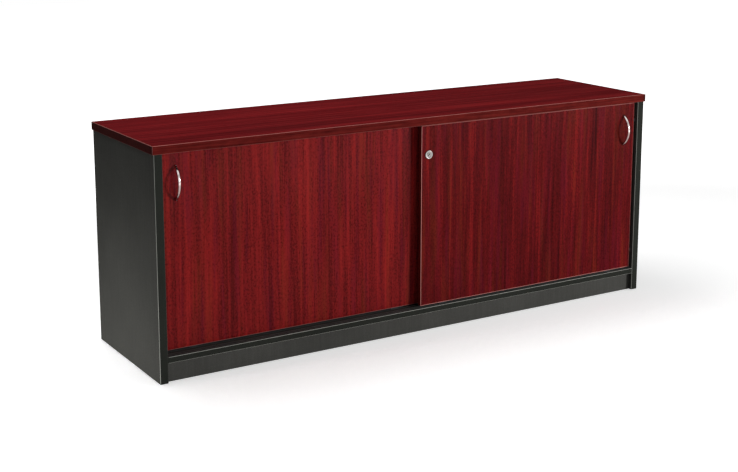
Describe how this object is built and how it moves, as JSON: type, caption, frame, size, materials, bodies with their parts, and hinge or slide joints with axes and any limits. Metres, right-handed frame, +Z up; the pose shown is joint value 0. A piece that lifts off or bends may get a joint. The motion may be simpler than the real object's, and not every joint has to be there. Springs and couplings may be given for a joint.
{
  "type": "office credenza",
  "caption": "Long low office credenza with bypass sliding doors on rollers, a cam lock, bow handles, a centre divider and shelves behind the doors.",
  "frame": {"origin": "on the floor, at the middle of the rectangle that the credenza covers with its handles", "axes": "+X along the length, towards the door with the lock; the doors face -Y; +Z up"},
  "size_m": [1.8, 0.488, 0.69],
  "materials": {
    "top_laminate": "satin mahogany laminate, grain along the top",
    "door_laminate": "satin mahogany laminate, grain upright",
    "red_edging": "satin edging that matches the laminate",
    "charcoal_laminate": "matt charcoal laminate with a fine grain",
    "charcoal_edging": "matt charcoal edging",
    "chrome": "polished",
    "lock_nickel": "bright nickel plate",
    "zinc_steel": "zinc plated",
    "cast_zinc": "die-cast, dull",
    "spring_steel": "bright wire",
    "track_plastic": "black extruded plastic",
    "housing_plastic": "black moulded plastic",
    "nylon": "black nylon",
    "rubber": "soft black rubber",
    "glide_plastic": "black plastic",
    "beech": "bare fluted beech"
  },
  "bodies": {
    "carcass": {"top_panel": "top_laminate", "top_edging": "red_edging", "side_panel_left": "charcoal_laminate", "side_panel_right": "charcoal_laminate", "side_edging": "charcoal_edging", "bottom_panel": "charcoal_laminate", "bottom_edging": "charcoal_edging", "kick_board": "charcoal_laminate", "rear_kick_board": "charcoal_laminate", "plinth_brace": "charcoal_laminate", "back_panel": "charcoal_laminate", "centre_divider": "charcoal_laminate", "inner_edging": "charcoal_edging", "shelf_left": "charcoal_laminate", "shelf_right": "charcoal_laminate", "shelf_pins": "zinc_steel", "upper_track_front": "track_plastic", "upper_track_rear": "track_plastic", "lower_track_front": "track_plastic", "lower_track_rear": "track_plastic", "door_buffers": "rubber", "floor_glides": "glide_plastic", "cam_locks": "cast_zinc", "cam_bolts": "zinc_steel", "wood_dowels": "beech", "divider_screws": "zinc_steel"},
    "left_door": {"left_door_panel": "door_laminate", "left_door_edging": "red_edging", "left_handle": "chrome", "left_handle_screws": "zinc_steel", "left_roller_housings": "housing_plastic", "left_roller_axles": "zinc_steel", "left_guide_sleeves": "housing_plastic", "left_guide_spring_outer": "spring_steel", "left_guide_spring_inner": "spring_steel", "lock_keeper": "cast_zinc", "keeper_screws": "zinc_steel"},
    "right_door": {"right_door_panel": "door_laminate", "right_door_edging": "red_edging", "right_handle": "chrome", "right_handle_screws": "zinc_steel", "right_roller_housings": "housing_plastic", "right_roller_axles": "zinc_steel", "right_guide_sleeves": "housing_plastic", "right_guide_spring_outer": "spring_steel", "right_guide_spring_inner": "spring_steel", "lock_barrel": "lock_nickel", "lock_nut": "lock_nickel"},
    "lock_core": {"lock_plug": "lock_nickel", "lock_cam": "zinc_steel", "lock_cam_screw": "zinc_steel"},
    "left_wheel_outer": {"left_wheel_outer": "nylon"},
    "left_guide_pin_outer": {"left_guide_pin_outer": "nylon"},
    "left_wheel_inner": {"left_wheel_inner": "nylon"},
    "left_guide_pin_inner": {"left_guide_pin_inner": "nylon"},
    "right_wheel_outer": {"right_wheel_outer": "nylon"},
    "right_guide_pin_outer": {"right_guide_pin_outer": "nylon"},
    "right_wheel_inner": {"right_wheel_inner": "nylon"},
    "right_guide_pin_inner": {"right_guide_pin_inner": "nylon"}
  },
  "joints": [
    {"name": "left_door_slide", "type": "slide", "parent": "carcass", "child": "left_door", "axis": [1, 0, 0], "range_m": [0, 0.796]},
    {"name": "right_door_slide", "type": "slide", "parent": "carcass", "child": "right_door", "axis": [1, 0, 0], "range_m": [-0.796, 0]},
    {"name": "lock_turn", "type": "hinge", "parent": "right_door", "child": "lock_core", "pos_m": [0.0185, -0.2, 0.57], "axis": [0, -1, 0], "range_deg": [0, 90]},
    {"name": "left_wheel_outer_spin", "type": "hinge", "parent": "left_door", "child": "left_wheel_outer", "pos_m": [-0.7717, -0.176, 0.0888], "axis": [0, 1, 0], "continuous": true},
    {"name": "left_guide_pin_outer_press", "type": "slide", "parent": "left_door", "child": "left_guide_pin_outer", "axis": [0, 0, 1], "range_m": [-0.01, 0], "stiffness_N_per_m": 60, "springref_m": 0.005, "deforming": ["left_guide_spring_outer"]},
    {"name": "left_wheel_inner_spin", "type": "hinge", "parent": "left_door", "child": "left_wheel_inner", "pos_m": [-0.082, -0.176, 0.0888], "axis": [0, 1, 0], "continuous": true},
    {"name": "left_guide_pin_inner_press", "type": "slide", "parent": "left_door", "child": "left_guide_pin_inner", "axis": [0, 0, 1], "range_m": [-0.01, 0], "stiffness_N_per_m": 60, "springref_m": 0.005, "deforming": ["left_guide_spring_inner"]},
    {"name": "right_wheel_outer_spin", "type": "hinge", "parent": "right_door", "child": "right_wheel_outer", "pos_m": [0.7717, -0.206, 0.0888], "axis": [0, 1, 0], "continuous": true},
    {"name": "right_guide_pin_outer_press", "type": "slide", "parent": "right_door", "child": "right_guide_pin_outer", "axis": [0, 0, 1], "range_m": [-0.01, 0], "stiffness_N_per_m": 60, "springref_m": 0.005, "deforming": ["right_guide_spring_outer"]},
    {"name": "right_wheel_inner_spin", "type": "hinge", "parent": "right_door", "child": "right_wheel_inner", "pos_m": [0.082, -0.206, 0.0888], "axis": [0, 1, 0], "continuous": true},
    {"name": "right_guide_pin_inner_press", "type": "slide", "parent": "right_door", "child": "right_guide_pin_inner", "axis": [0, 0, 1], "range_m": [-0.01, 0], "stiffness_N_per_m": 60, "springref_m": 0.005, "deforming": ["right_guide_spring_inner"]}
  ],
  "couplings": [
    {"joint": "left_wheel_outer_spin", "follows": "left_door_slide", "rad_per_m": 76.923},
    {"joint": "left_wheel_inner_spin", "follows": "left_door_slide", "rad_per_m": 76.923},
    {"joint": "right_wheel_outer_spin", "follows": "right_door_slide", "rad_per_m": 76.923},
    {"joint": "right_wheel_inner_spin", "follows": "right_door_slide", "rad_per_m": 76.923}
  ]
}
